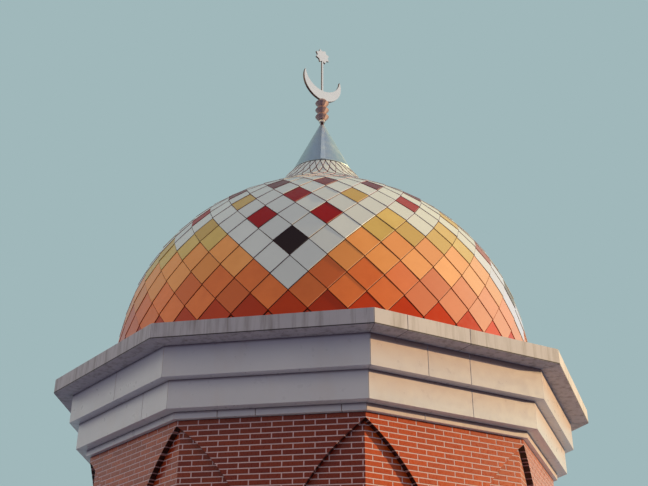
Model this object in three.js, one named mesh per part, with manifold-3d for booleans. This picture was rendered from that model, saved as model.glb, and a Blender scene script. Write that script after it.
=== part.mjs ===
// Tiled dome on a nine-sided brick drum with a stepped cornice.
// Millimetres, +Z up, one face of the drum towards -Y.
// The origin is the middle of the box round the object, on its base plane,
// a little in front of the dome's axis.
import * as THREE from 'three';
import { mergeVertices } from 'three/addons/utils/BufferGeometryUtils.js';
import Module from 'manifold-3d';

const wasm = await Module();
wasm.setup();

// Plan: a regular polygon, stated by the radius out to its corners
const SIDES = 9;
const STEP = (2 * Math.PI) / SIDES;
const FLAT = Math.cos(STEP / 2);
const FRONT = -Math.PI / 2;
const GAP = 0.3;

const R_WALL = 3151;
const R_PANEL = 3231;
const R_BED = 3293;
const R_FRIEZE_LOW = 3436;
const R_FRIEZE_UP = 3566;
const R_SLAB = 3822;
const WALL_THICK = 240;
const IN_FLAT = R_WALL * FLAT - WALL_THICK;
const AXIS_Y = -(R_SLAB - (GAP / 2) * Math.tan(STEP / 2) - R_SLAB * FLAT) / 2;

// Heights above the base of the drum
const COURSE = 65;
const Z_BRICK = 23 * COURSE;
const ARCH_R = 2650;
const ARCH_STEPS = 20;
const Z_BED = 1580;
const Z_FRIEZE_LOW = 1923;
const Z_FRIEZE_UP = 2307;
const Z_SLAB = 2503;

// Dome, neck and cone
const GORES = 8;
const GORE_FACETS = 9;
const DOME_THICK = 150;
const DOME_KEYS = [
  [3059, 2503.3], [3040, 3070], [2920, 3800], [2700, 4370], [2370, 4865],
  [1945, 5295], [1280, 5750], [855, 6060], [676, 6262],
];
const DOME_STEPS = 20;
const NECK_OUT = [[676, 6262.3], [601, 6375], [508, 6492]];
const NECK_THICK = 110;
const CONE_BASE_R = 513;
const CONE_TOP_R = 46;
const CONE_TOP_Z = 7485;
const CONE_SHEET = 8;

// Finial
const BALL_R = 30;
const COLLAR_R = 52;
const COLLAR_H = 54;
const BEAD_R = 119;
const BEAD_WAIST_R = 62;
const BEAD_H = 140.7;
const BEAD_FACETS = 12;
const CRESCENT_R = 395;
const CRESCENT_IN_R = 373;
const CRESCENT_LIFT = 173;
const CRESCENT_THICK = 45;
const CRESCENT_FOOT = 6;
const FINIAL_TURN = 0.833;
const STAR_TOP_Z = 9112;
const STAR_R = 150;
const STAR_THICK = 30;
const STEM_W = 28;

const group = new THREE.Group();

const PAINT = {
  brick: { color: 0xb5532f, roughness: 0.45, metalness: 0 },
  render: { color: 0xd8cdbb, roughness: 0.8, metalness: 0 },
  slab: { color: 0x9a9488, roughness: 0.85, metalness: 0 },
  tile: { color: 0xd9dbd6, roughness: 0.2, metalness: 0 },
  neckTile: { color: 0xdcd8d0, roughness: 0.25, metalness: 0 },
  coneMetal: { color: 0x8d939b, roughness: 0.35, metalness: 0.9 },
  ball: { color: 0x5a2320, roughness: 0.4, metalness: 0.6 },
  copper: { color: 0x9a6a55, roughness: 0.35, metalness: 0.9 },
  gilt: { color: 0xd9cdb8, roughness: 0.3, metalness: 0.9 },
};

function add(name, geometry, paint, turn = 0, z = 0) {
  const mesh = new THREE.Mesh(geometry, new THREE.MeshStandardMaterial(PAINT[paint]));
  mesh.name = name;
  mesh.rotation.z = turn;
  mesh.position.set(0, AXIS_Y, z);
  group.add(mesh);
  return mesh;
}

function toManifold(geometry) {
  const g = geometry.clone();
  g.deleteAttribute('normal');
  g.deleteAttribute('uv');
  const welded = mergeVertices(g, 1e-4);
  const triVerts = new Uint32Array(welded.index.array);
  const vertProperties = new Float32Array(welded.attributes.position.array);
  return new wasm.Manifold(new wasm.Mesh({ numProp: 3, vertProperties, triVerts }));
}

function fromManifold(solid) {
  const mesh = solid.getMesh();
  const g = new THREE.BufferGeometry();
  g.setAttribute('position', new THREE.BufferAttribute(new Float32Array(mesh.vertProperties), 3));
  g.setIndex(new THREE.BufferAttribute(new Uint32Array(mesh.triVerts), 1));
  const flat = g.toNonIndexed();
  flat.computeVertexNormals();
  return flat;
}

function shapeOf(points) {
  return new THREE.Shape(points.map(([x, y]) => new THREE.Vector2(x, y)));
}

function extrude(shape, depth, curveSegments = 12) {
  return new THREE.ExtrudeGeometry(shape, { depth, bevelEnabled: false, curveSegments });
}

// Plan of one side's block: mitred ends on the corner planes, outer flat towards -Y
function blockPlan(outFlat, inFlat) {
  const t = Math.tan(STEP / 2);
  const m = GAP / 2 / Math.cos(STEP / 2);
  return [
    [-(outFlat * t - m), -outFlat],
    [outFlat * t - m, -outFlat],
    [inFlat * t - m, -inFlat],
    [-(inFlat * t - m), -inFlat],
  ];
}

function block(outR, inFlat, z0, z1) {
  const g = extrude(shapeOf(blockPlan(outR * FLAT, inFlat)), z1 - z0);
  g.translate(0, 0, z0);
  return g;
}

// Closed ring with polygon edges inside and out
function ring(outR, inFlat, z0, z1) {
  const corner = (r, i) => {
    const a = FRONT - STEP / 2 + i * STEP;
    return [r * Math.cos(a), r * Math.sin(a)];
  };
  const out = [];
  const inner = [];
  for (let i = 0; i < SIDES; i += 1) {
    out.push(corner(outR, i));
    inner.push(corner(inFlat / FLAT, SIDES - i));
  }
  const shape = shapeOf(out);
  shape.holes.push(new THREE.Path(inner.map(([x, y]) => new THREE.Vector2(x, y))));
  const g = extrude(shape, z1 - z0);
  g.translate(0, 0, z0);
  return g;
}

function lathe(points, segments) {
  const profile = points.map(([r, z]) => new THREE.Vector2(r, z));
  const g = new THREE.LatheGeometry(profile, segments);
  g.rotateX(Math.PI / 2);
  return g;
}

// Points of a profile moved inwards, square to it
function inset(points, d) {
  return points.map((p, i) => {
    const a = points[Math.max(i - 1, 0)];
    const b = points[Math.min(i + 1, points.length - 1)];
    const dr = b[0] - a[0];
    const dz = b[1] - a[1];
    const len = Math.hypot(dr, dz);
    return [p[0] - (dz / len) * d, p[1] + (dr / len) * d];
  });
}

// Drum: nine wall blocks, each with a brick panel. The panels' edges are arcs,
// so two of them make a pointed arch round every corner.
const wallGeometry = block(R_WALL, IN_FLAT, 0, Z_BRICK);
const half = R_PANEL * Math.sin(STEP / 2);
const archTop = Z_BRICK - COURSE;
const springing = archTop - Math.sqrt(ARCH_R ** 2 - (ARCH_R - half) ** 2);
const archEdge = [];
for (let i = 0; i <= ARCH_STEPS; i += 1) {
  const z = (archTop * i) / ARCH_STEPS;
  archEdge.push([ARCH_R - Math.sqrt(ARCH_R ** 2 - (z - springing) ** 2), z]);
}
const panelPoints = [
  ...archEdge,
  [half + 5, archTop],
  [half + 5, Z_BRICK],
  [-half - 5, Z_BRICK],
  [-half - 5, archTop],
  ...archEdge.map(([x, z]) => [-x, z]).reverse(),
];
const sheet = extrude(shapeOf(panelPoints), 200);
sheet.rotateX(Math.PI / 2);
sheet.translate(0, -R_WALL * FLAT + 50, 0);
const wedge = block(R_PANEL, R_WALL * FLAT + GAP, -200, Z_BRICK + 200);
const panelGeometry = fromManifold(toManifold(sheet).intersect(toManifold(wedge)));
const slabGeometry = block(R_SLAB, IN_FLAT, Z_FRIEZE_UP + GAP, Z_SLAB);

for (let i = 0; i < SIDES; i += 1) {
  add(`wall_${i + 1}`, wallGeometry.clone(), 'brick', i * STEP);
  add(`brick_panel_${i + 1}`, panelGeometry.clone(), 'brick', i * STEP);
  add(`cornice_slab_${i + 1}`, slabGeometry.clone(), 'slab', i * STEP);
}

// Stepped cornice under the slab
add('bed_moulding', ring(R_BED, IN_FLAT, Z_BRICK + GAP, Z_BED), 'render');
add('lower_frieze', ring(R_FRIEZE_LOW, IN_FLAT, Z_BED + GAP, Z_FRIEZE_LOW), 'render');
add('upper_frieze', ring(R_FRIEZE_UP, IN_FLAT, Z_FRIEZE_LOW + GAP, Z_FRIEZE_UP), 'render');

// Dome: a hollow shell in eight gores, open at the crown under the neck
const domeCurve = new THREE.SplineCurve(DOME_KEYS.map(([r, z]) => new THREE.Vector2(r, z)));
const domeOut = domeCurve.getPoints(DOME_STEPS).map((p) => [p.x, p.y]);
const domeTop = domeOut[DOME_STEPS];
const domeIn = inset(domeOut, DOME_THICK);
domeIn[0][1] = domeOut[0][1];
domeIn.push([domeIn[domeIn.length - 1][0], domeTop[1]]);
const domeProfile = [...domeOut, ...domeIn.slice().reverse(), domeOut[0]];
const gorePlan = shapeOf([
  [GAP / 2 / Math.sin(Math.PI / GORES), 0],
  [4000 * Math.cos(Math.PI / GORES), -4000 * Math.sin(Math.PI / GORES) + GAP / 2],
  [4000 * Math.cos(Math.PI / GORES), 4000 * Math.sin(Math.PI / GORES) - GAP / 2],
]);
const goreWedge = extrude(gorePlan, 5000);
goreWedge.translate(0, 0, 2000);
const shell = lathe(domeProfile, GORES * GORE_FACETS);
shell.rotateZ(Math.PI / GORES);
const goreGeometry = fromManifold(toManifold(shell).intersect(toManifold(goreWedge)));
for (let i = 0; i < GORES; i += 1) {
  add(`dome_gore_${i + 1}`, goreGeometry.clone(), 'tile', FRONT + (i * 2 * Math.PI) / GORES);
}

// Neck: a hollow flared collar under the cone
const neckTop = NECK_OUT[NECK_OUT.length - 1];
const neckProfile = [
  ...NECK_OUT,
  [neckTop[0] - NECK_THICK, neckTop[1]],
  [NECK_OUT[0][0] - 2 * NECK_THICK, NECK_OUT[0][1]],
  NECK_OUT[0],
];
add('dome_neck', lathe(neckProfile, 72), 'neckTile');

// Cone: sheet metal, open at its base
const coneZ = neckTop[1] + GAP;
const slope = (CONE_BASE_R - CONE_TOP_R) / (CONE_TOP_Z - coneZ);
const coneProfile = [
  [CONE_BASE_R, coneZ],
  [CONE_TOP_R, CONE_TOP_Z],
  [0, CONE_TOP_Z],
  [0, CONE_TOP_Z - CONE_SHEET],
  [CONE_TOP_R - CONE_SHEET + slope * CONE_SHEET, CONE_TOP_Z - CONE_SHEET],
  [CONE_BASE_R - CONE_SHEET, coneZ],
  [CONE_BASE_R, coneZ],
];
add('cone_cap', lathe(coneProfile, 72), 'coneMetal');

// Finial: ball, collar, three faceted beads, crescent and star
const ballZ = CONE_TOP_Z + GAP + BALL_R;
const ball = new THREE.SphereGeometry(BALL_R, 24, 16);
ball.rotateX(Math.PI / 2);
add('finial_ball', ball, 'ball', 0, ballZ);

const collarZ = ballZ + BALL_R + GAP;
const collarProfile = [
  [0, collarZ],
  [COLLAR_R - 10, collarZ],
  [COLLAR_R, collarZ + 12],
  [COLLAR_R, collarZ + COLLAR_H - 12],
  [COLLAR_R - 10, collarZ + COLLAR_H],
  [0, collarZ + COLLAR_H],
];
add('finial_collar', lathe(collarProfile, 32), 'gilt');

let beadZ = collarZ + COLLAR_H + GAP;
for (let i = 0; i < 3; i += 1) {
  const beadProfile = [
    [0, beadZ],
    [BEAD_WAIST_R, beadZ],
    [BEAD_R, beadZ + BEAD_H / 2],
    [BEAD_WAIST_R, beadZ + BEAD_H],
    [0, beadZ + BEAD_H],
  ];
  add(`finial_bead_${i + 1}`, lathe(beadProfile, BEAD_FACETS), 'copper', FINIAL_TURN);
  beadZ += BEAD_H + GAP;
}

// Crescent outline in its own plane, centre at the origin, cut flat at its foot
const tipY = (CRESCENT_R ** 2 - CRESCENT_IN_R ** 2 + CRESCENT_LIFT ** 2) / (2 * CRESCENT_LIFT);
const tipOut = Math.asin(tipY / CRESCENT_R);
const tipIn = Math.asin((tipY - CRESCENT_LIFT) / CRESCENT_IN_R);
const footA = Math.acos((CRESCENT_R - CRESCENT_FOOT) / CRESCENT_R);
const crescentPoints = [];
const ARC = 36;
const arc = (r, lift, from, to, n) => {
  for (let i = 0; i <= n; i += 1) {
    const a = from + ((to - from) * i) / n;
    crescentPoints.push([r * Math.cos(a), lift + r * Math.sin(a)]);
  }
};
arc(CRESCENT_R, 0, Math.PI - tipOut, 1.5 * Math.PI - footA, ARC);
arc(CRESCENT_R, 0, 1.5 * Math.PI + footA, 2 * Math.PI + tipOut, ARC);
arc(CRESCENT_IN_R, CRESCENT_LIFT, 2 * Math.PI + tipIn - 0.04, Math.PI - tipIn + 0.04, 2 * ARC);
const crescent = extrude(shapeOf(crescentPoints), CRESCENT_THICK);
crescent.translate(0, 0, -CRESCENT_THICK / 2);
crescent.rotateX(Math.PI / 2);
const crescentZ = beadZ + CRESCENT_R - CRESCENT_FOOT;
add('crescent', crescent, 'gilt', FINIAL_TURN, crescentZ);

// Plain eight-pointed star on a flat stem, standing inside the crescent
const starZ = STAR_TOP_Z - STAR_R * Math.cos(Math.PI / 8);
const stemSag = CRESCENT_IN_R - Math.sqrt(CRESCENT_IN_R ** 2 - (STEM_W / 2) ** 2);
const stemFoot = crescentZ - CRESCENT_IN_R + CRESCENT_LIFT + stemSag + GAP - starZ;
const starPoints = [];
for (let i = 0; i < 16; i += 1) {
  const a = -Math.PI / 2 + (i * Math.PI) / 8;
  const r = i % 2 === 0 ? STAR_R * 0.72 : STAR_R;
  if (i === 0) {
    const y = -Math.sqrt(r ** 2 - (STEM_W / 2) ** 2);
    starPoints.push([-STEM_W / 2, y], [-STEM_W / 2, stemFoot], [STEM_W / 2, stemFoot], [STEM_W / 2, y]);
  } else {
    starPoints.push([r * Math.cos(a), r * Math.sin(a)]);
  }
}
const star = extrude(shapeOf(starPoints), STAR_THICK);
star.translate(0, 0, -STAR_THICK / 2);
star.rotateX(Math.PI / 2);
add('star_on_stem', star, 'gilt', FINIAL_TURN, starZ);

export default group;
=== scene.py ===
# Tiled dome on a nine-sided brick drum: bricks, cornice blocks, tiles and metalwork round the packed
# frame. Metres, +Z up. One face of the drum looks towards -Y.
import math
import random

import bmesh
import bpy
from mathutils import Matrix, Vector


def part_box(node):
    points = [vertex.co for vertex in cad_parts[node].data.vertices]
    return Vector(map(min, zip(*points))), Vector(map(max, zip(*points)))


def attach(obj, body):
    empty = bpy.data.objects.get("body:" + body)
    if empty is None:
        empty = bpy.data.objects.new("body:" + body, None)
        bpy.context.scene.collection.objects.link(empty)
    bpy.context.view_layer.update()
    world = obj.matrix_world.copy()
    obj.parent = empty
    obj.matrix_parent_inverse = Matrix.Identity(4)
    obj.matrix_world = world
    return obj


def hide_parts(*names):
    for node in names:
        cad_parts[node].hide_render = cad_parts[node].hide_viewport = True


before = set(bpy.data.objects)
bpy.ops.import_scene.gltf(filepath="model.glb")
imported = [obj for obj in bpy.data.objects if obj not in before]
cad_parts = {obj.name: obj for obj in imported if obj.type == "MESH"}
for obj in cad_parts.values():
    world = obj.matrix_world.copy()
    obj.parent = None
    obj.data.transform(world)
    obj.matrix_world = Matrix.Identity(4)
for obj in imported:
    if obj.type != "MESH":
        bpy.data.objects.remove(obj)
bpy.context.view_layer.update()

# Plan of the drum: face 1 looks to -Y, the others follow counter-clockwise
SIDES = 9
STEP = 2 * math.pi / SIDES
TAN = math.tan(STEP / 2)
FACES = range(1, SIDES + 1)

# Air left between pieces that meet
GAP = 0.0003

# A ring of the drum has a flat face in front and a corner at the back, which is further from the axis
bed_low, bed_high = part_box("bed_moulding")
AXIS_Y = bed_low.y + (bed_high.y - bed_low.y) * math.cos(STEP / 2) / (1 + math.cos(STEP / 2))


def out_of(node):
    """How far the front face of a node on face 1, or of a ring, is from the axis."""
    return AXIS_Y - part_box(node)[0].y


def heights(node):
    low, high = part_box(node)
    return low.z, high.z


WALL_OUT = out_of("wall_1")
PANEL_OUT = out_of("brick_panel_1")
WALL_IN = AXIS_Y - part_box("wall_1")[1].y
BRICK_TOP = heights("wall_1")[1]

# Brickwork: courses and joints of thin facing bricks. The places of the upright joints are in bricks from a
# face's left corner, and the shifts say how far they move from one face to the next.
BRICK_PITCH = 0.250
COURSE = 0.065
JOINT = 0.012
BRICK_PROUD = 0.002
BRICK_BEVEL = 0.0015
BRICK_BEVEL_SHARE = 0.3
BRICK_BED = 0.01
CUT_PROUD = 0.003
SHORTEST_SIDE = 0.0005
SHORTEST_CLOSER = 0.6
ON_CORNER = 1e-5
ARCH_R = 2.650
PANEL_JOINT = 0.056
PANEL_SHIFT = -0.372
WALL_JOINT = 0.152
WALL_SHIFT = -0.248

# Cornice: places of the butt joints along the faces that show, from the middle of the face
BLOCK_GAP = 0.006
BLOCK_BEVEL = 0.004
SLAB_JOINTS = {1: (), 9: (-0.057,)}
SLAB_JOINTS_ELSEWHERE = (-0.870, -0.007)
UPPER_JOINTS = {1: (), 9: (0.042,)}
UPPER_JOINTS_ELSEWHERE = (-0.447, 0.147)
LOWER_JOINTS = {1: (), 9: (0.581,)}
LOWER_JOINTS_ELSEWHERE = (0.238,)
BED_JOINTS = {1: (-0.603, -0.150, 0.845)}
BED_JOINTS_ELSEWHERE = (-0.350,)

# Dome profile, radius and height, and the lattice of its diamond tiles: columns count round the dome and
# levels up its skin, and the rows above the bend are a little higher than those below it
DOME_KEYS = [
    (3.059, 2.5033), (3.040, 3.070), (2.920, 3.800), (2.700, 4.370), (2.370, 4.865),
    (1.945, 5.295), (1.280, 5.750), (0.855, 6.060), (0.676, 6.262),
]
NECK_KEYS = [(0.601, 6.375), (0.508, 6.492)]
PROFILE_STEPS = 240
COLUMNS = 40
REPEAT = 8
MIDDLE_COLUMN = 4
MIDDLE_TURN = math.radians(-86.43)
BEND_LEVEL = 7
BEND_ARC = 2.082
ROW_LOW = 0.255
ROW_HIGH = 0.266
LOW_LEVEL = -1
TOP_LEVEL = 18
NECK_ROW = 13

# Tiles: those of the lower rows are nearly flat, those from the curved row up follow the skin
TILE_DEEP = 0.022
TILE_LAP = 0.016
TILE_BACK = 0.003
TILE_JOINT = 0.012
NECK_JOINT = 0.018
TILE_BEVEL = 0.006
TILE_BEVEL_SHARE = 0.16
TILE_STEP = 0.004
TILE_LEAN = 0.0024
TILE_GRID = 3
CURVED_ROW = 14
CURVING_ROWS = 3
FLATTEST = 0.85

# Shell under the tiles
DOME_THICK = 0.150
SHELL_SIDES = 160
SHELL_STEPS = 48

# Cone: a sheet with a rolled hem, a strip lapped over its seam, and a dark ring over the neck tiles, a
# painted shadow under the hem. The top of the hem and the fold inside it are in hem radii, and the half in
# painted shade and the half in the sun are tones.
CONE_SHEET = 0.004
CONE_SIDES = 128
CONE_TIP = 0.046
CONE_HOLE = 0.004
HEM = 0.007
HEM_TOP = 4
HEM_STEP = 0.002
HEM_ANGLES = range(-150, 61, 30)
FOLD_IN = 2.2
FOLD_UP = 1.2
LAP_WIDTH = 0.085
LAP_TURN = math.radians(-81.4)
LAP_ENDS = (0.03, 0.97)
LAP_TAPER = 0.65
LAP_SUNK = 0.003
LAP_PROUD = 0.0015
LAP_STEPS = 6
SHADOW_RING_HEIGHT = 0.018
SHADOW_RING_SUNK = 0.01
SHADOW_RING_PROUD = 0.004
SHADED_HALF_TONE = 0.0
SUNLIT_HALF_TONE = 0.7

# Finial: the turn of its plates about the axis, and the soft edges of its pieces
FINIAL_TURN = 0.833
CRESCENT_BEVEL = 0.004
FINIAL_BEVEL = 0.003

# Angles, in degrees, over which an edge is bevelled, or shaded sharp
BEVEL_ANGLE = 30
BEVEL_SEGMENTS = 2
SHARP_ANGLE = 40


class Solids:
    """Vertices and faces of many closed solids, each face with a material number and a tone."""

    def __init__(self):
        self.verts, self.faces, self.slots, self.tones = [], [], [], []

    def add(self, verts, faces, slot=0, tone=0.5):
        start = len(self.verts)
        self.verts += [tuple(v) for v in verts]
        self.faces += [tuple(start + i for i in face) for face in faces]
        self.slots += [slot] * len(faces)
        self.tones += [tone] * len(faces)

    def stack(self, rings, tone):
        """A solid from rings of equally many points: a cap on the first and last, walls between."""
        n = len(rings[0])
        verts = [v for ring in rings for v in ring]
        last = (len(rings) - 1) * n
        faces = [tuple(range(n))[::-1], tuple(range(last, last + n))]
        for level in range(len(rings) - 1):
            for i in range(n):
                a, b = level * n + i, level * n + (i + 1) % n
                faces.append((a, b, b + n, a + n))
        self.add(verts, faces, tone=tone)

    def piece(self, name, materials, replaces=(), slot=None, smooth=False):
        mesh = bpy.data.meshes.new(name)
        mesh.from_pydata(self.verts, [], self.faces)
        for material in materials:
            mesh.materials.append(material)
        mesh.polygons.foreach_set("material_index", self.slots)
        tone = mesh.attributes.new("tone", "FLOAT", "FACE")
        tone.data.foreach_set("value", self.tones)
        solid = bmesh.new()
        solid.from_mesh(mesh)
        bmesh.ops.recalc_face_normals(solid, faces=solid.faces)
        solid.to_mesh(mesh)
        solid.free()
        if smooth:
            mesh.polygons.foreach_set("use_smooth", [True] * len(mesh.polygons))
        obj = bpy.data.objects.new(name, mesh)
        bpy.context.scene.collection.objects.link(obj)
        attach(obj, "root")
        if replaces:
            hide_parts(*replaces)
        return obj


def bevel(obj, width):
    modifier = obj.modifiers.new("edges", "BEVEL")
    modifier.width = width
    modifier.segments = BEVEL_SEGMENTS
    modifier.limit_method = "ANGLE"
    modifier.angle_limit = math.radians(BEVEL_ANGLE)


def sharpen(obj):
    modifier = obj.modifiers.new("edges", "EDGE_SPLIT")
    modifier.split_angle = math.radians(SHARP_ANGLE)


def dress(node, material, width=None):
    """Gives a node of the frame its material and, where a width is given, soft edges."""
    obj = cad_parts[node]
    obj.data.materials.clear()
    obj.data.materials.append(material)
    if width:
        bevel(obj, width)


def tone_of(*key):
    """A number from 0 to 1 that is always the same for the same key."""
    return random.Random(repr(key)).random()


class Paint:
    """A material with short calls for its nodes."""

    def __init__(self, name, roughness=0.5, metallic=0.0, specular=0.5):
        self.material = bpy.data.materials.new(name)
        self.material.use_nodes = True
        self.tree = self.material.node_tree
        self.shader = self.tree.nodes["Principled BSDF"]
        self.shader.inputs["Roughness"].default_value = roughness
        self.shader.inputs["Metallic"].default_value = metallic
        self.shader.inputs["Specular IOR Level"].default_value = specular
        coords = self.tree.nodes.new("ShaderNodeTexCoord")
        self.place = coords.outputs["Object"]

    def link(self, value, socket):
        if isinstance(value, bpy.types.NodeSocket):
            self.tree.links.new(value, socket)
        else:
            socket.default_value = value

    def stretched(self, scale):
        node = self.tree.nodes.new("ShaderNodeMapping")
        node.inputs["Scale"].default_value = scale
        self.link(self.place, node.inputs["Vector"])
        return node.outputs["Vector"]

    def noise(self, scale, detail=3.0, roughness=0.5, place=None):
        node = self.tree.nodes.new("ShaderNodeTexNoise")
        node.inputs["Scale"].default_value = scale
        node.inputs["Detail"].default_value = detail
        node.inputs["Roughness"].default_value = roughness
        self.link(place or self.place, node.inputs["Vector"])
        return node.outputs["Fac"]

    def tone(self):
        node = self.tree.nodes.new("ShaderNodeAttribute")
        node.attribute_name = "tone"
        return node.outputs["Fac"]

    def spread(self, value, low, high, to_low=0.0, to_high=1.0):
        """A value's range from low to high, moved to another range."""
        node = self.tree.nodes.new("ShaderNodeMapRange")
        for socket, number in zip(node.inputs[1:5], (low, high, to_low, to_high)):
            socket.default_value = number
        self.link(value, node.inputs["Value"])
        return node.outputs["Result"]

    def mix(self, share, a, b):
        node = self.tree.nodes.new("ShaderNodeMix")
        node.data_type = "RGBA"
        self.link(share, node.inputs["Factor"])
        self.link(a, node.inputs["A"])
        self.link(b, node.inputs["B"])
        return node.outputs["Result"]

    def times(self, a, b):
        node = self.tree.nodes.new("ShaderNodeMath")
        node.operation = "MULTIPLY"
        self.link(a, node.inputs[0])
        self.link(b, node.inputs[1])
        return node.outputs["Value"]

    def height(self):
        node = self.tree.nodes.new("ShaderNodeSeparateXYZ")
        self.link(self.place, node.inputs["Vector"])
        return node.outputs["Z"]

    def set(self, color=None, roughness=None, bump=None, depth=0.001):
        if color is not None:
            self.link(color, self.shader.inputs["Base Color"])
        if roughness is not None:
            self.link(roughness, self.shader.inputs["Roughness"])
        if bump is not None:
            node = self.tree.nodes.new("ShaderNodeBump")
            node.inputs["Distance"].default_value = depth
            self.link(bump, node.inputs["Height"])
            self.link(node.outputs["Normal"], self.shader.inputs["Normal"])
        return self.material


def srgb(red, green, blue):
    """A colour given as the eye sees it, 0 to 255 a channel, as the shaders want it."""
    def straight(c):
        c /= 255
        return c / 12.92 if c <= 0.04045 else ((c + 0.055) / 1.055) ** 2.4
    return (straight(red), straight(green), straight(blue), 1.0)


# How far a side looks along X or up, from where an effect starts to where it is full. Along X it is 0 for
# face 1 in front, 0.64 for face 2, 0.98 for face 3 and -0.64 for face 9.
RIGHT_BRICKS = (0.4, 0.6)
RIGHT_STONES = (0.3, 0.6)
RIGHT_TILES = (0.4, 0.8)
LAST_BRICKS = (0.7, 0.95)
LAST_TILES = (0.72, 0.95)
LEFT_TILES = (-0.6, -0.95)
NOT_FACE_9 = (-0.45, -0.3)
NOT_FACE_2 = (0.4, 0.25)
NOT_FACE_3 = (0.9, 0.75)
DOWNWARD = (-0.12, -0.22)
UPRIGHT = (-0.6, -0.2)


def facing(paint, axis):
    """How far a side looks along an axis, from -1 to 1."""
    geometry = paint.tree.nodes.new("ShaderNodeNewGeometry")
    axes = paint.tree.nodes.new("ShaderNodeSeparateXYZ")
    paint.link(geometry.outputs["Normal"], axes.inputs["Vector"])
    return axes.outputs[axis]


def under_sides(paint, color, dark):
    """Painted shade: another colour on the sides that look down, such as the cut faces of the panels."""
    return paint.mix(paint.spread(facing(paint, "Z"), *DOWNWARD), color, dark)


def grimy_top(paint, color, top, deep, dark):
    """Painted shade that gets stronger towards the upper edge, under the ledge above."""
    return paint.mix(paint.spread(paint.height(), top - deep, top), color, dark)


def tinted(paint, color, band, share, tint):
    """Painted light: a share of another colour on the sides that look as far along X as the band says."""
    return paint.mix(paint.spread(facing(paint, "X"), *band, 0, share), color, tint)


def sooty_front(paint, color, share, front_shade_tint):
    """Painted shade: the walls in front, which stand in the shade, are made darker."""
    left = paint.spread(facing(paint, "X"), *NOT_FACE_9)
    right = paint.spread(facing(paint, "X"), *NOT_FACE_2)
    return paint.mix(paint.times(paint.times(left, right), share), color, front_shade_tint)


# Painted shade and light, and a dark line at the slab's lower edge: the heights that they cover and how
# strongly.
# A ledge's shadow on face 2 is as high as the ledge stands out, times the slope.
TOP_JOINT_SHADE = 0.02
EDGE_LINE_TOP = 0.020
EDGE_LINE_FULL = 0.013
LEDGE_SHADE = 0.035
SHADOW_SLOPE = 0.33
SHADOW_DARKENING_START = 0.6
SHADOW_DARKENING_SHARE = 0.55
SUN_GLOW_HEIGHT = 0.24
SUN_GLOW_SHARE = 0.45


def brick_material():
    paint = Paint("glazed_brick", specular=0.3)
    fired = paint.mix(paint.tone(), srgb(134, 37, 11), srgb(163, 59, 18))
    cloud = paint.spread(paint.noise(14), 0.35, 0.7)
    body = paint.mix(paint.times(cloud, 0.35), fired, srgb(118, 30, 10))
    specks = paint.spread(paint.noise(260, 2), 0.62, 0.72)
    color = paint.mix(paint.times(specks, 0.4), body, srgb(84, 26, 16))
    # Painted shade on the bricks of the faces in front
    painted_shade = sooty_front(paint, color, 0.48, srgb(74, 0, 0))
    # Painted sunlight: the bricks of the faces in the sun are more orange
    warm = tinted(paint, painted_shade, RIGHT_BRICKS, 0.25, srgb(222, 94, 20))
    # Painted sheen: the bricks of face 3, which faces the sun and is seen at a grazing angle, are paler
    pale = tinted(paint, warm, LAST_BRICKS, 0.3, srgb(196, 176, 160))
    rough = paint.spread(paint.noise(40), 0.3, 0.7, 0.24, 0.36)
    # Painted shade on the bricks' sides that look down, such as their cut faces along the arches
    color = under_sides(paint, pale, srgb(40, 8, 5))
    return paint.set(color, rough, paint.noise(90, 4), 0.0008)


def mortar_material():
    paint = Paint("mortar", roughness=0.9)
    color = paint.mix(paint.noise(9, 5), srgb(198, 164, 170), srgb(216, 184, 186))
    grain = paint.noise(420, 3)
    mortar = paint.mix(paint.times(grain, 0.3), color, srgb(172, 140, 142))
    # Painted shade along the top joint, under the bed moulding
    mortar = grimy_top(paint, mortar, BRICK_TOP, TOP_JOINT_SHADE, srgb(40, 20, 20))
    # Painted shade on the mortar's sides that look down, the cut faces of the panels
    return paint.set(under_sides(paint, mortar, srgb(150, 112, 114)), None, grain, 0.0015)


def slab_material():
    """Slab stone with dark runs down its face, pits, a dark line along the lower edge of its upright faces,
    and painted sunlight that makes the faces in the sun paler.
    """
    paint = Paint("slab_stone", roughness=0.8)
    base = paint.mix(paint.noise(2.2, 5), srgb(166, 158, 166), srgb(190, 180, 184))
    runs = paint.spread(paint.noise(3.2, 5, 0.6, paint.stretched((4, 4, 0.35))), 0.48, 0.72)
    stained = paint.mix(paint.times(runs, 0.75), base, srgb(122, 110, 106))
    streaks = paint.spread(paint.noise(9, 3, 0.5, paint.stretched((5, 5, 0.2))), 0.62, 0.75)
    marked = paint.mix(paint.times(streaks, 0.55), stained, srgb(92, 80, 74))
    pits = paint.spread(paint.noise(70, 2), 0.7, 0.78)
    color = paint.mix(paint.times(pits, 0.5), marked, srgb(84, 74, 68))
    upright = paint.spread(facing(paint, "Z"), *UPRIGHT)
    edge = heights("cornice_slab_1")[0]
    # A dark line along the lower edge of the upright faces, full up to 13 mm and gone at 20 mm
    edge_line = paint.spread(paint.height(), edge + EDGE_LINE_TOP, edge + EDGE_LINE_FULL)
    # Painted sunlight: the slab's faces in the sun are paler
    color = tinted(paint, color, RIGHT_STONES, 0.25, srgb(238, 224, 220))
    color = paint.mix(paint.times(edge_line, upright), color, srgb(46, 34, 38))
    return paint.set(color, None, paint.noise(120, 5), 0.002)


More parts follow.
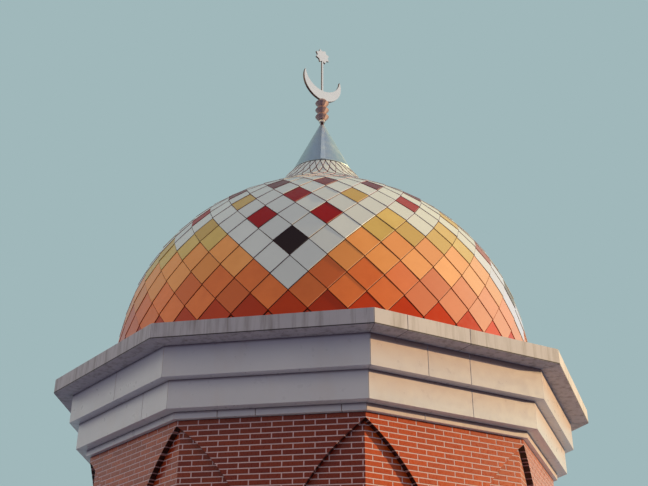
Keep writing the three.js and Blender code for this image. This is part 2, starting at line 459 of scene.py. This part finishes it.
def frieze_material(node, above, sunlit_share):
    """Smooth cast stone, satin, with faint stains and painted shade under the ledge above.

    On the faces in the sun, painted sunlight warms the colour and a painted orange glow grows up to the
    ledge's shadow. On face 2, the ledge's shadow is painted darker as well.
    """
    paint = Paint("cast_stone_" + node, roughness=0.32)
    base = paint.mix(paint.noise(1.6, 4), srgb(188, 183, 190), srgb(202, 196, 201))
    stain = paint.spread(paint.noise(2.4, 4, 0.6, paint.stretched((1, 1, 0.5))), 0.5, 0.8)
    color = paint.mix(paint.times(stain, 0.25), base, srgb(188, 162, 148))
    # Painted sunlight: the faces in the sun are warmer in colour
    color = tinted(paint, color, RIGHT_STONES, sunlit_share, srgb(198, 172, 166))
    top = heights(node)[1]
    shadow = SHADOW_SLOPE * (out_of(above) - out_of(node))
    # Painted light: on the faces in the sun an orange glow grows up to the ledge's shadow
    sunny = paint.spread(facing(paint, "X"), *RIGHT_STONES)
    below_shadow = paint.spread(paint.height(), top - shadow - SUN_GLOW_HEIGHT, top - shadow)
    sun_glow = paint.times(sunny, below_shadow)
    color = paint.mix(paint.times(sun_glow, SUN_GLOW_SHARE), color, srgb(206, 158, 124))
    # Painted shadow: on face 2 the ledge's cast shadow is made darker
    face_2 = paint.times(sunny, paint.spread(facing(paint, "X"), *NOT_FACE_3))
    in_shadow = paint.spread(paint.height(), top - shadow, top - SHADOW_DARKENING_START * shadow)
    painted_shade = paint.times(face_2, in_shadow)
    color = paint.mix(paint.times(painted_shade, SHADOW_DARKENING_SHARE), color, srgb(70, 44, 40))
    # Painted shade along the top of the face, under the ledge above
    color = grimy_top(paint, color, top, LEDGE_SHADE, srgb(104, 84, 88))
    rough = paint.spread(paint.noise(11), 0.3, 0.7, 0.26, 0.42)
    return paint.set(color, rough, paint.noise(30, 4), 0.0006)


def glaze_material(name, color, deeper):
    """Fired glaze, with painted light: paler where it looks into the low sun, and a painted bluish
    reflection of the sky at both sides of the dome.
    """
    paint = Paint("glaze_" + name, specular=SHINE.get(name, 0.3))
    fired = paint.mix(paint.tone(), color, deeper)
    cloud = paint.spread(paint.noise(5, 3), 0.35, 0.7)
    shade = paint.mix(paint.times(cloud, 0.35), fired, deeper)
    # Painted sunlight and sheen: paler on the side that looks into the low sun
    pale = tinted(paint, shade, RIGHT_TILES, SUNLIT_PALENESS.get(name, 0.3), srgb(190, 185, 172))
    # Painted reflection of the blue sky on the dome's right edge
    right = tinted(paint, pale, LAST_TILES, SKY_REFLECTION_SHARE.get(name, 0.1), srgb(190, 197, 237))
    # Painted reflection of the sky on the dome's left edge, pale mauve
    left = tinted(paint, right, LEFT_TILES, 0.45, srgb(160, 150, 170))
    rough = paint.spread(paint.noise(23), 0.3, 0.7, 0.3, 0.42)
    return paint.set(left, rough, paint.noise(9, 2), 0.0008)


# Heights between which the grout changes colour
BROWN_TO_MAUVE = (3.9, 4.6)
MAUVE_TO_RED = (5.6, 5.9)


def grout_material():
    """Dark brown among the orange tiles, mauve grey among the white ones, dark red on the neck."""
    paint = Paint("grout", roughness=0.85)
    height = paint.height()
    middle = paint.mix(paint.spread(height, *BROWN_TO_MAUVE), srgb(92, 34, 14), srgb(146, 98, 102))
    color = paint.mix(paint.spread(height, *MAUVE_TO_RED), middle, srgb(150, 74, 78))
    return paint.set(color, None, paint.noise(300, 3), 0.001)


def plaster_material():
    paint = Paint("plaster", roughness=0.9)
    color = paint.mix(paint.noise(4, 5), srgb(196, 190, 182), srgb(212, 206, 198))
    return paint.set(color, None, paint.noise(160, 4), 0.0015)


def cone_material():
    paint = Paint("cone_metal", roughness=0.4, metallic=1.0)
    streak = paint.noise(6, 4, 0.6, paint.stretched((3, 3, 0.12)))
    sheet = paint.mix(paint.tone(), srgb(157, 171, 178), srgb(234, 240, 236))
    color = paint.mix(paint.times(streak, 0.5), sheet, srgb(202, 210, 214))
    dull = paint.spread(paint.noise(8, 4), 0.3, 0.7, 0.3, 0.48)
    brushed = paint.noise(60, 3, 0.5, paint.stretched((1, 1, 0.05)))
    return paint.set(color, dull, brushed, 0.0006)


# Painted shadow: a dark ring that stands for the shadow gap under the cone's hem
def seal_material():
    paint = Paint("painted_shadow_ring", roughness=0.7)
    return paint.set(paint.mix(paint.noise(30), srgb(44, 36, 42), srgb(60, 50, 54)))


def metal_material(name, light, dark, roughness, under=None):
    """Cloudy metal, with painted shade in another colour on its under sides where one is given."""
    paint = Paint(name, roughness=roughness, metallic=1.0)
    color = paint.mix(paint.spread(paint.noise(30, 4), 0.35, 0.7), light, dark)
    color = under_sides(paint, color, under) if under else color
    rough = paint.spread(paint.noise(51), 0.3, 0.7, roughness * 0.8, roughness * 1.3)
    return paint.set(color, rough, paint.noise(90, 3), 0.0005)


def gilt_material():
    """Pale gilt on the faces of the finial's plates, dark brown on their edges."""
    paint = Paint("gilt_plate", roughness=0.35, metallic=0.35)
    geometry = paint.tree.nodes.new("ShaderNodeNewGeometry")
    across = paint.tree.nodes.new("ShaderNodeVectorMath")
    across.operation = "DOT_PRODUCT"
    across.inputs[1].default_value = (math.sin(FINIAL_TURN), -math.cos(FINIAL_TURN), 0)
    paint.link(geometry.outputs["Normal"], across.inputs[0])
    square = paint.tree.nodes.new("ShaderNodeMath")
    square.operation = "ABSOLUTE"
    paint.link(across.outputs["Value"], square.inputs[0])
    faces = paint.mix(paint.noise(5, 3), srgb(186, 194, 220), srgb(200, 207, 231))
    edges = paint.mix(paint.noise(20, 4), srgb(70, 42, 32), srgb(120, 78, 58))
    color = paint.mix(paint.spread(square.outputs["Value"], 0.7, 0.85), edges, faces)
    return paint.set(color, None, paint.noise(8, 2), 0.0004)


def face_place(face):
    """From the coordinates of face 1 to those of another face."""
    return Matrix.Translation((0, AXIS_Y, 0)) @ Matrix.Rotation((face - 1) * STEP, 4, "Z")


def clip(poly, a, b, limit):
    """The part of a convex polygon where a*x + b*z is at most the limit."""
    kept = []
    for p, q in zip(poly, poly[1:] + poly[:1]):
        over_p = a * p[0] + b * p[1] - limit
        over_q = a * q[0] + b * q[1] - limit
        if over_p <= 0:
            kept.append(p)
        if over_p * over_q < 0:
            t = over_p / (over_p - over_q)
            kept.append((p[0] + (q[0] - p[0]) * t, p[1] + (q[1] - p[1]) * t))
    return kept


def inset(poly, d):
    """A convex polygon, counter-clockwise, with each side moved inwards by d."""
    inwards = []
    for p, q in zip(poly, poly[1:] + poly[:1]):
        length = math.hypot(q[0] - p[0], q[1] - p[1])
        inwards.append(((p[1] - q[1]) / length, (q[0] - p[0]) / length))
    moved = []
    for i, (x, z) in enumerate(poly):
        before, after = inwards[i - 1], inwards[i]
        share = d / (1 + before[0] * after[0] + before[1] * after[1])
        moved.append((x + (before[0] + after[0]) * share, z + (before[1] + after[1]) * share))
    return moved


def brick(solids, poly, back, front, corner, tone):
    """A brick with bevelled front edges, bounded by the corner planes where it reaches them."""
    poly = [p for p, q in zip(poly, poly[1:] + poly[:1]) if math.dist(p, q) > SHORTEST_SIDE]
    if len(poly) < 3:
        return
    shortest = min(math.dist(p, q) for p, q in zip(poly, poly[1:] + poly[:1]))
    top = inset(poly, min(BRICK_BEVEL, BRICK_BEVEL_SHARE * shortest))

    def ring(outline, depth):
        points = []
        for (x, z), (edge_x, _) in zip(outline, poly):
            if abs(edge_x) > corner - ON_CORNER:
                x = math.copysign(depth * TAN - GAP, edge_x)
            points.append((x, -depth, z))
        return points

    solids.stack([ring(poly, back), ring(poly, front - BRICK_BEVEL), ring(top, front)], tone=tone)


def panel_joints(face, course, half):
    """Places of the upright joints across a panel, which count from its left corner."""
    first = (PANEL_JOINT + PANEL_SHIFT * (face - 1) + course / 2) % 1
    count = math.ceil(2 * half / BRICK_PITCH - first)
    return [(first + n) * BRICK_PITCH - half for n in range(count)]


def wall_joints(face, course, half):
    """Places of the upright joints across a wall, whose bond runs round both corners and closes between."""
    from_left = (WALL_JOINT + WALL_SHIFT * (face - 1) + course / 2) % 1
    from_right = (-WALL_JOINT - WALL_SHIFT * face - course / 2) % 1
    reach = math.ceil(half / BRICK_PITCH)
    left = [(from_left + n) * BRICK_PITCH - half for n in range(reach)]
    right = [half - (from_right + n) * BRICK_PITCH for n in range(reach)]
    left = [x for x in left if x < 0]
    right = [x for x in reversed(right) if x > left[-1] + SHORTEST_CLOSER * BRICK_PITCH]
    return left + right


def course_bricks(face, course, joints, half):
    """The bricks of one course, left to right: first and last x, and a tone shared round the corners."""
    cuts = [-half - JOINT, *joints, half + JOINT]
    for n, (left, right) in enumerate(zip(cuts, cuts[1:])):
        key = (face % SIDES + 1, course, 0) if n == len(joints) else (face, course, n)
        yield max(left + JOINT / 2, -half), min(right - JOINT / 2, half), tone_of(*key)


def panel_half(z):
    """Half the width of a brick panel at a height. Its edges are arcs that narrow it downwards."""
    top = BRICK_TOP - COURSE
    springing = top - math.sqrt(ARCH_R ** 2 - (ARCH_R - PANEL_OUT * TAN) ** 2)
    return ARCH_R - math.sqrt(ARCH_R ** 2 - (z - springing) ** 2)


def brickwork(face):
    """The bricks of one face: its panel, and the wall where it shows beside the panel."""
    solids = Solids()
    front, wall_front = PANEL_OUT + BRICK_PROUD, WALL_OUT + BRICK_PROUD
    half, wall_half = front * TAN, wall_front * TAN
    for course in range(round(BRICK_TOP / COURSE)):
        low = BRICK_TOP - (course + 1) * COURSE + JOINT / 2
        high = low + COURSE - JOINT
        foot = panel_half(low)
        lean = (panel_half(high) - foot) / (high - low) if course else 0
        limit = foot - lean * low + CUT_PROUD * math.hypot(1, lean)
        for x0, x1, tone in course_bricks(face, course, panel_joints(face, course, half), half):
            poly = [(x0, low), (x1, low), (x1, high), (x0, high)]
            if course:
                poly = clip(poly, 1, -lean, limit)
                poly = clip(poly, -1, -lean, limit) if poly else poly
            brick(solids, poly, WALL_OUT + GAP, front, half, tone)
        if course == 0:
            continue
        for x0, x1, tone in course_bricks(face, course, wall_joints(face, course, wall_half), wall_half):
            if max(-x0, x1) > foot and x1 - x0 > JOINT / 2:
                poly = [(x0, low), (x1, low), (x1, high), (x0, high)]
                brick(solids, poly, WALL_OUT - BRICK_BED, wall_front, wall_half, tone)
    place = face_place(face)
    solids.verts = [place @ Vector(v) for v in solids.verts]
    return solids


def build_drum():
    material = brick_material()
    mortar = mortar_material()
    for face in FACES:
        brickwork(face).piece(f"bricks_{face}", [material], slot="brick")
        dress(f"wall_{face}", mortar)
        dress(f"brick_panel_{face}", mortar)


def block_end(x, sign, depth):
    """Where a block ends: beside the butt joint at x, or where x is None, beside the corner's mitre."""
    return sign * (depth * TAN - BLOCK_GAP / 4) if x is None else x - sign * BLOCK_GAP / 2


def blocks(name, node, replaces, joints, elsewhere, material, slot):
    """A course of mitred stone blocks on all the faces, cut at the butt joints."""
    z0, z1 = heights(node)
    out = out_of(node)
    solids = Solids()
    for face in FACES:
        place = face_place(face)
        cuts = [None, *joints.get(face, elsewhere), None]
        for n, (left, right) in enumerate(zip(cuts, cuts[1:])):
            plan = [
                (block_end(left, -1, out), -out), (block_end(right, 1, out), -out),
                (block_end(right, 1, WALL_IN), -WALL_IN), (block_end(left, -1, WALL_IN), -WALL_IN),
            ]
            low = [place @ Vector((x, y, z0 + GAP)) for x, y in plan]
            high = [place @ Vector((x, y, z1 - GAP)) for x, y in plan]
            solids.stack([low, high], tone=tone_of(name, face, n))
    bevel(solids.piece(name, [material], replaces, slot), BLOCK_BEVEL)


def build_cornice():
    slab_nodes = [f"cornice_slab_{face}" for face in FACES]
    blocks("slab_stones", "cornice_slab_1", slab_nodes, SLAB_JOINTS, SLAB_JOINTS_ELSEWHERE,
           slab_material(), "slab_stone")
    blocks("upper_frieze_blocks", "upper_frieze", ["upper_frieze"], UPPER_JOINTS, UPPER_JOINTS_ELSEWHERE,
           frieze_material("upper_frieze", "cornice_slab_1", 0.3), "render")
    blocks("lower_frieze_blocks", "lower_frieze", ["lower_frieze"], LOWER_JOINTS, LOWER_JOINTS_ELSEWHERE,
           frieze_material("lower_frieze", "upper_frieze", 0.1), "render")
    blocks("bed_moulding_blocks", "bed_moulding", ["bed_moulding"], BED_JOINTS, BED_JOINTS_ELSEWHERE,
           frieze_material("bed_moulding", "lower_frieze", 0.2), "render")


def spline(keys, steps):
    """Points of a uniform Catmull-Rom curve through the keys."""
    last = len(keys) - 1
    points = []
    for i in range(steps + 1):
        at = last * i / steps
        n = min(int(at), last)
        w = at - n
        a, b, c, d = (keys[min(max(n + j, 0), last)] for j in (-1, 0, 1, 2))
        point = []
        for k in range(2):
            v0, v1 = (c[k] - a[k]) / 2, (d[k] - b[k]) / 2
            cubic = (2 * b[k] - 2 * c[k] + v0 + v1) * w ** 3
            square = (3 * c[k] - 3 * b[k] - 2 * v0 - v1) * w ** 2
            point.append(cubic + square + v0 * w + b[k])
        points.append(tuple(point))
    return points


PROFILE = spline(DOME_KEYS, PROFILE_STEPS) + NECK_KEYS
ARCS = [0.0]
for p, q in zip(PROFILE, PROFILE[1:]):
    ARCS.append(ARCS[-1] + math.dist(p, q))


def profile_at(arc):
    """Radius, height and outward direction of the dome's skin at a length along its profile."""
    arc = min(max(arc, 0.0), ARCS[-1])
    n = next((i for i, a in enumerate(ARCS[1:]) if a >= arc), len(ARCS) - 2)
    (r0, z0), (r1, z1) = PROFILE[n], PROFILE[n + 1]
    t = (arc - ARCS[n]) / (ARCS[n + 1] - ARCS[n])
    length = math.dist((r0, z0), (r1, z1))
    return r0 + (r1 - r0) * t, z0 + (z1 - z0) * t, (z1 - z0) / length, (r0 - r1) / length


def arc_of(level):
    """How far up the skin a level of the lattice is."""
    return BEND_ARC + (level - BEND_LEVEL) * (ROW_LOW if level < BEND_LEVEL else ROW_HIGH)


def skin(column, level):
    """The point of the dome's skin at a place of the lattice."""
    r, z, _, _ = profile_at(arc_of(level))
    turn = MIDDLE_TURN + (column - MIDDLE_COLUMN) * 2 * math.pi / COLUMNS
    return Vector((r * math.cos(turn), AXIS_Y + r * math.sin(turn), z))


# Glazes: a light and a deep colour, and where they differ from most, the shine, the painted paleness in the
# sun and the share of painted blue sky reflection on the right
GLAZES = {
    "white": (srgb(220, 221, 219), srgb(208, 209, 208)),
    "plum": (srgb(124, 30, 34), srgb(104, 26, 30)),
    "black": (srgb(38, 4, 18), srgb(30, 3, 14)),
    "red": (srgb(160, 14, 6), srgb(146, 11, 5)),
    "gold": (srgb(219, 185, 106), srgb(194, 156, 80)),
    "light_orange": (srgb(251, 167, 94), srgb(225, 138, 69)),
    "dark_orange": (srgb(238, 122, 57), srgb(207, 93, 38)),
    "deep_red": (srgb(200, 60, 8), srgb(174, 44, 5)),
}
SHINE = {"red": 0.15, "black": 0.18, "deep_red": 0.22}
SUNLIT_PALENESS = {"light_orange": 0.42, "dark_orange": 0.42, "deep_red": 0.0}
SKY_REFLECTION_SHARE = {"white": 0.9}

# Glazes of the zigzags by row, and of the diamonds in the white above them by columns from the middle
ZIGZAGS = {1: "dark_orange", 2: "dark_orange", 3: "light_orange", 4: "light_orange", 5: "gold"}
DIAMONDS = {
    6: {1: "red", 3: "gold"},
    8: {0: "red", 2: "gold", 4: "red"},
    10: {1: "plum", 3: "plum"},
}


def glaze_of(column, row):
    """The tile pattern: red rows at the foot, orange and gold zigzags, then white with diamonds in it."""
    from_middle = abs(column % REPEAT - MIDDLE_COLUMN)
    if row <= 0:
        return "deep_red"
    if row == 4 and from_middle == 0:
        return "black"
    if row in ZIGZAGS and from_middle > (row - 2) / 2:
        return ZIGZAGS[row]
    return DIAMONDS.get(row, {}).get(from_middle, "white")


def tile(solids, column, row, down, up):
    """A diamond tile whose lower edges stand out over the tiles below.

    Its tips are down levels below its middle and up levels above. Half tiles have down or up 0, others 1.
    """
    tips = [
        skin(column - 0.5, row), skin(column, row - down),
        skin(column + 0.5, row), skin(column, row + up),
    ]
    wide, tall = tips[2] - tips[0], tips[3] - tips[1]
    out = wide.cross(tall).normalized()
    reach = wide.length * tall.length / 2 / (tips[2] - tips[3]).length / (1 if down and up else 2)
    edge = 1 - (TILE_JOINT if row < NECK_ROW else NECK_JOINT) / 2 / reach
    face = edge - min(TILE_BEVEL, TILE_BEVEL_SHARE * reach) / reach
    flatness = min(max((CURVED_ROW - row) / CURVING_ROWS, 0.0), FLATTEST)
    lean = [(tone_of("lean", column, row, axis) - 0.5) * TILE_LEAN for axis in range(2)]

    def place(s, t, sunk):
        """s and t run along the sides from -1 to 1: (-1, -1) is the left tip and (1, 1) the right one."""
        flat = (tips[0] * (1 - s) * (1 - t) + tips[1] * (1 + s) * (1 - t)
                + tips[2] * (1 + s) * (1 + t) + tips[3] * (1 - s) * (1 + t)) / 4
        rise = (t - s) / 2
        curved = skin(column + (s + t) / 4, row + rise * (up if rise > 0 else down))
        lap = TILE_LAP / 2 * min(max(rise, -down), up)
        return curved.lerp(flat, flatness) + out * (lean[0] * s + lean[1] * t - lap - sunk)

    n = TILE_GRID
    grid = [-1 + 2 * i / n for i in range(n + 1)]
    rim = [(g, -1) for g in grid[:-1]] + [(1, g) for g in grid[:-1]]
    rim += [(-g, 1) for g in grid[:-1]] + [(-1, -g) for g in grid[:-1]]
    verts = [place(s * face, t * face, 0) for t in grid for s in grid]
    faces = [(j * (n + 1) + i, j * (n + 1) + i + 1, (j + 1) * (n + 1) + i + 1, (j + 1) * (n + 1) + i)
             for j in range(n) for i in range(n)]
    around = [round((t + 1) * n / 2) * (n + 1) + round((s + 1) * n / 2) for s, t in rim]
    for sunk in (TILE_STEP, TILE_DEEP + TILE_LAP / 2 + TILE_BACK):
        ring = range(len(verts), len(verts) + len(rim))
        verts += [place(s * edge, t * edge, sunk) for s, t in rim]
        for i in range(len(rim)):
            j = (i + 1) % len(rim)
            faces.append((around[j], around[i], ring[i], ring[j]))
        around = ring
    faces.append(tuple(around)[::-1])
    names = list(GLAZES)
    solids.add(verts, faces, names.index(glaze_of(column, row)), tone_of("tile", column, row))
    # The sides in the joint and the back have the grout's material, which follows the glazes
    unglazed = len(rim) + 1
    solids.slots[-unglazed:] = [len(names)] * unglazed


def lathe(outline, sides):
    """A closed solid of revolution about the dome's axis from a closed outline of radius and height."""
    verts, faces = [], []
    n = len(outline)
    for k in range(sides):
        turn = 2 * math.pi * k / sides
        verts += [(r * math.cos(turn), AXIS_Y + r * math.sin(turn), z) for r, z in outline]
        for i in range(n):
            j = (i + 1) % n
            a, b = k * n, (k + 1) % sides * n
            faces.append((a + i, b + i, b + j, a + j))
    return verts, faces


def sunk_skin(depth):
    """An outline that runs up under the skin at a depth, level with it at the foot and the top."""
    outline = []
    for i in range(SHELL_STEPS + 1):
        r, z, out, up = profile_at(ARCS[-1] * i / SHELL_STEPS)
        height = z if i in (0, SHELL_STEPS) else z - depth * up
        outline.append((r - depth * out, height))
    return outline


def build_shell(grout):
    """The shell under the tiles: grout outside, plaster inside."""
    outer, inner = sunk_skin(TILE_DEEP), sunk_skin(DOME_THICK)
    verts, faces = lathe(outer + inner[::-1], SHELL_SIDES)
    shell = Solids()
    shell.add(verts, faces)
    around = len(outer) + len(inner)
    shell.slots = [0 if i % around < len(outer) else 1 for i in range(len(faces))]
    gores = [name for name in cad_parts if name.startswith("dome_gore")]
    shell.piece("dome_shell", [grout, plaster_material()], [*gores, "dome_neck"], "dome_tile", smooth=True)


def build_dome():
    grout = grout_material()
    glazes = [glaze_material(name, *colors) for name, colors in GLAZES.items()] + [grout]
    build_shell(grout)
    tiles, neck = Solids(), Solids()
    for row in range(LOW_LEVEL, TOP_LEVEL + 1):
        for n in range(COLUMNS):
            column = n + (row % 2) / 2
            target = tiles if row < NECK_ROW else neck
            tile(target, column, row, int(row > LOW_LEVEL), int(row < TOP_LEVEL))
    tiles.piece("dome_tiles", glazes, slot="dome_tile")
    neck.piece("neck_tiles", glazes, slot="neck_tile")


def cone_outline(base, foot, top):
    """Radius and height of the sheet: round the rolled hem, up the outside and down the inside."""
    slope = (base - CONE_TIP) / (top - foot)
    angles = [math.radians(degrees) for degrees in HEM_ANGLES]
    hem = [(base - HEM + HEM * math.cos(a), foot + HEM + HEM * math.sin(a)) for a in angles]
    return hem + [
        (base - slope * HEM_TOP * HEM - HEM_STEP, foot + HEM_TOP * HEM),
        (CONE_TIP, top),
        (CONE_HOLE, top),
        (CONE_HOLE, top - CONE_SHEET),
        (CONE_TIP - CONE_SHEET, top - CONE_SHEET),
        (base - FOLD_IN * HEM, foot + FOLD_UP * HEM),
    ]


def seam_strip(base, foot, top):
    """The strip over the sheet's seam, narrower towards the tip, as its lower and upper end."""
    slope = (base - CONE_TIP) / (top - foot)
    ends = []
    for share in LAP_ENDS:
        z = foot + (top - foot) * share
        r = base - slope * (z - foot)
        width = LAP_WIDTH * (1 - LAP_TAPER * share)
        turns = [LAP_TURN + width / r * k / LAP_STEPS for k in range(LAP_STEPS + 1)]
        ring = [(r - LAP_SUNK, turn) for turn in turns] + [(r + LAP_PROUD, turn) for turn in turns[::-1]]
        ends.append([(out * math.cos(turn), AXIS_Y + out * math.sin(turn), z) for out, turn in ring])
    return ends


def seal_outline():
    """Radius and height of the dark ring of painted shadow that lies on the uppermost neck tiles under the
    hem.
    """
    (low_r, low_z), (high_r, high_z) = NECK_KEYS
    flare = SHADOW_RING_HEIGHT * (low_r - high_r) / (high_z - low_z)
    return [
        (high_r - SHADOW_RING_SUNK, high_z),
        (high_r + SHADOW_RING_PROUD, high_z),
        (high_r + SHADOW_RING_PROUD + flare, high_z - SHADOW_RING_HEIGHT),
        (high_r - SHADOW_RING_SUNK + flare, high_z - SHADOW_RING_HEIGHT),
    ]


def build_cone():
    low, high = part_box("cone_cap")
    base, foot, top = (high.x - low.x) / 2, low.z, high.z
    outline = cone_outline(base, foot, top)
    solids = Solids()
    solids.add(*lathe(outline, CONE_SIDES))
    # Painted shade: the half of the sheet from the seam round the side turned away from the sun is darker
    # than the other
    seam = round(LAP_TURN / (2 * math.pi) * CONE_SIDES) % CONE_SIDES
    for i in range(len(solids.faces)):
        darker = (seam - i // len(outline)) % CONE_SIDES < CONE_SIDES / 2
        solids.tones[i] = SHADED_HALF_TONE if darker else SUNLIT_HALF_TONE
    # The strip over the seam takes the lightest tone: a painted highlight, added to the sun that its raised
    # fold catches
    solids.stack(seam_strip(base, foot, top), tone=1.0)
    # The dark ring of painted shadow under the hem
    solids.add(*lathe(seal_outline(), CONE_SIDES), slot=1)
    materials = [cone_material(), seal_material()]
    sharpen(solids.piece("cone_sheet", materials, ["cone_cap"], "cone_metal", smooth=True))


def build_finial():
    gilt = gilt_material()
    # The beads' facets that look down get painted shade, a duller colour
    copper = metal_material("bead_copper", srgb(214, 172, 156), srgb(170, 130, 118), 0.55,
                            under=srgb(178, 148, 144))
    paint = metal_material("ball_paint", srgb(96, 34, 30), srgb(66, 24, 24), 0.35)
    collar = metal_material("collar_gilt", srgb(226, 214, 204), srgb(190, 172, 160), 0.3)
    dress("crescent", gilt, CRESCENT_BEVEL)
    dress("star_on_stem", gilt, FINIAL_BEVEL)
    dress("finial_ball", paint)
    dress("finial_collar", collar)
    for n in (1, 2, 3):
        dress(f"finial_bead_{n}", copper, FINIAL_BEVEL)


FLOOR_RADIUS = 5.0
FLOOR_SIDES = 96
FLOOR_DROP = 0.002


def build_stage():
    mesh = bpy.data.meshes.new("floor")
    solid = bmesh.new()
    bmesh.ops.create_circle(solid, cap_ends=True, segments=FLOOR_SIDES, radius=FLOOR_RADIUS)
    solid.to_mesh(mesh)
    solid.free()
    floor = bpy.data.objects.new("floor", mesh)
    floor.location = (0, AXIS_Y, -FLOOR_DROP)
    bpy.context.scene.collection.objects.link(floor)
    paint = Paint("floor", roughness=0.9)
    color = paint.mix(paint.noise(0.5), srgb(190, 192, 204), srgb(198, 200, 212))
    mesh.materials.append(paint.set(color))


CAMERA_PLACE = (2.621, -13.2952, -1.6705)
CAMERA_YAW = math.radians(-13.6727)
CAMERA_PITCH = math.radians(27.816)
CAMERA_ROLL = math.radians(1.2702)
CAMERA_LENS = 52.488
CAMERA_SHIFT = (0.05803, -0.01603)


def build_camera():
    level = math.cos(CAMERA_PITCH)
    ahead = Vector((math.sin(CAMERA_YAW) * level, math.cos(CAMERA_YAW) * level, math.sin(CAMERA_PITCH)))
    right = Vector((math.cos(CAMERA_YAW), -math.sin(CAMERA_YAW), 0))
    up = right.cross(ahead)
    x = right * math.cos(CAMERA_ROLL) + up * math.sin(CAMERA_ROLL)
    y = up * math.cos(CAMERA_ROLL) - right * math.sin(CAMERA_ROLL)
    data = bpy.data.cameras.new("camera")
    data.lens = CAMERA_LENS
    data.shift_x, data.shift_y = CAMERA_SHIFT
    camera = bpy.data.objects.new("camera", data)
    turned = Matrix((x, y, -ahead)).transposed().to_4x4()
    camera.matrix_world = Matrix.Translation(CAMERA_PLACE) @ turned
    bpy.context.scene.collection.objects.link(camera)
    bpy.context.scene.camera = camera


SUN_AZIMUTH = math.radians(10.4)
SUN_HEIGHT = math.radians(9.3)
SUN_STRENGTH = 4.7
SUN_COLOR = (1.0, 0.80, 0.42)
SUN_WIDTH = math.radians(1.0)


def build_light():
    data = bpy.data.lights.new("sun", "SUN")
    data.energy = SUN_STRENGTH
    data.color = SUN_COLOR
    data.angle = SUN_WIDTH
    sun = bpy.data.objects.new("sun", data)
    level = math.cos(SUN_HEIGHT)
    toward = Vector((math.cos(SUN_AZIMUTH) * level, math.sin(SUN_AZIMUTH) * level, math.sin(SUN_HEIGHT)))
    sun.rotation_euler = toward.to_track_quat("Z", "Y").to_euler()
    bpy.context.scene.collection.objects.link(sun)
    build_sky()


# Light of the sky by height, from straight down (-1) to straight up (1), in front and on the right, and on
# the left, and how far along X and Y one passes into the next
GROUND = (0.13, 0.14, 0.24, 1)
ZENITH = (0.32, 0.37, 0.48, 1)
SKY_FRONT = [
    (-1.0, GROUND), (-0.05, GROUND), (0.05, (0.42, 0.43, 0.43, 1)), (0.52, (0.44, 0.45, 0.45, 1)),
    (0.66, (0.92, 0.85, 0.68, 1)), (0.80, (0.92, 0.85, 0.68, 1)), (0.90, ZENITH),
]
SKY_LEFT = [
    (-1.0, GROUND), (-0.05, GROUND), (0.05, (1.06, 1.10, 1.0, 1)), (0.55, (1.06, 1.04, 0.86, 1)),
    (0.70, (0.60, 0.60, 0.50, 1)), (0.90, ZENITH),
]
SKY_BEHIND = srgb(160, 184, 187)
LEFT_EDGE = (-0.25, -0.50)
BEHIND_EDGE = (0.20, 0.42)


def build_sky():
    """A world light: bright low on the left, softer in front and on the right, plain blue behind."""
    world = bpy.data.worlds.new("sky")
    bpy.context.scene.world = world
    world.use_nodes = True
    tree = world.node_tree
    axes = tree.nodes.new("ShaderNodeSeparateXYZ")
    tree.links.new(tree.nodes.new("ShaderNodeTexCoord").outputs["Generated"], axes.inputs["Vector"])

    def step(axis, low, high, kind="SMOOTHSTEP"):
        node = tree.nodes.new("ShaderNodeMapRange")
        node.interpolation_type = kind
        node.inputs["From Min"].default_value = low
        node.inputs["From Max"].default_value = high
        tree.links.new(axes.outputs[axis], node.inputs["Value"])
        return node.outputs["Result"]

    def ramp(levels):
        node = tree.nodes.new("ShaderNodeValToRGB")
        tree.links.new(step("Z", -1, 1, "LINEAR"), node.inputs["Fac"])
        elements = node.color_ramp.elements
        while len(elements) < len(levels):
            elements.new(0.5)
        for element, (height, color) in zip(elements, levels):
            element.position = (height + 1) / 2
            element.color = color
        return node.outputs["Color"]

    def mix(share, a, b):
        node = tree.nodes.new("ShaderNodeMix")
        node.data_type = "RGBA"
        tree.links.new(share, node.inputs["Factor"])
        tree.links.new(a, node.inputs["A"])
        if isinstance(b, tuple):
            node.inputs["B"].default_value = b
        else:
            tree.links.new(b, node.inputs["B"])
        return node.outputs["Result"]

    around = mix(step("X", *LEFT_EDGE), ramp(SKY_FRONT), ramp(SKY_LEFT))
    total = mix(step("Y", *BEHIND_EDGE), around, SKY_BEHIND)
    tree.links.new(total, tree.nodes["Background"].inputs["Color"])


bpy.context.scene.view_settings.view_transform = "Standard"
build_camera()
build_light()
build_stage()
build_drum()
build_cornice()
build_dome()
build_cone()
build_finial()

bpy.context.view_layer.update()
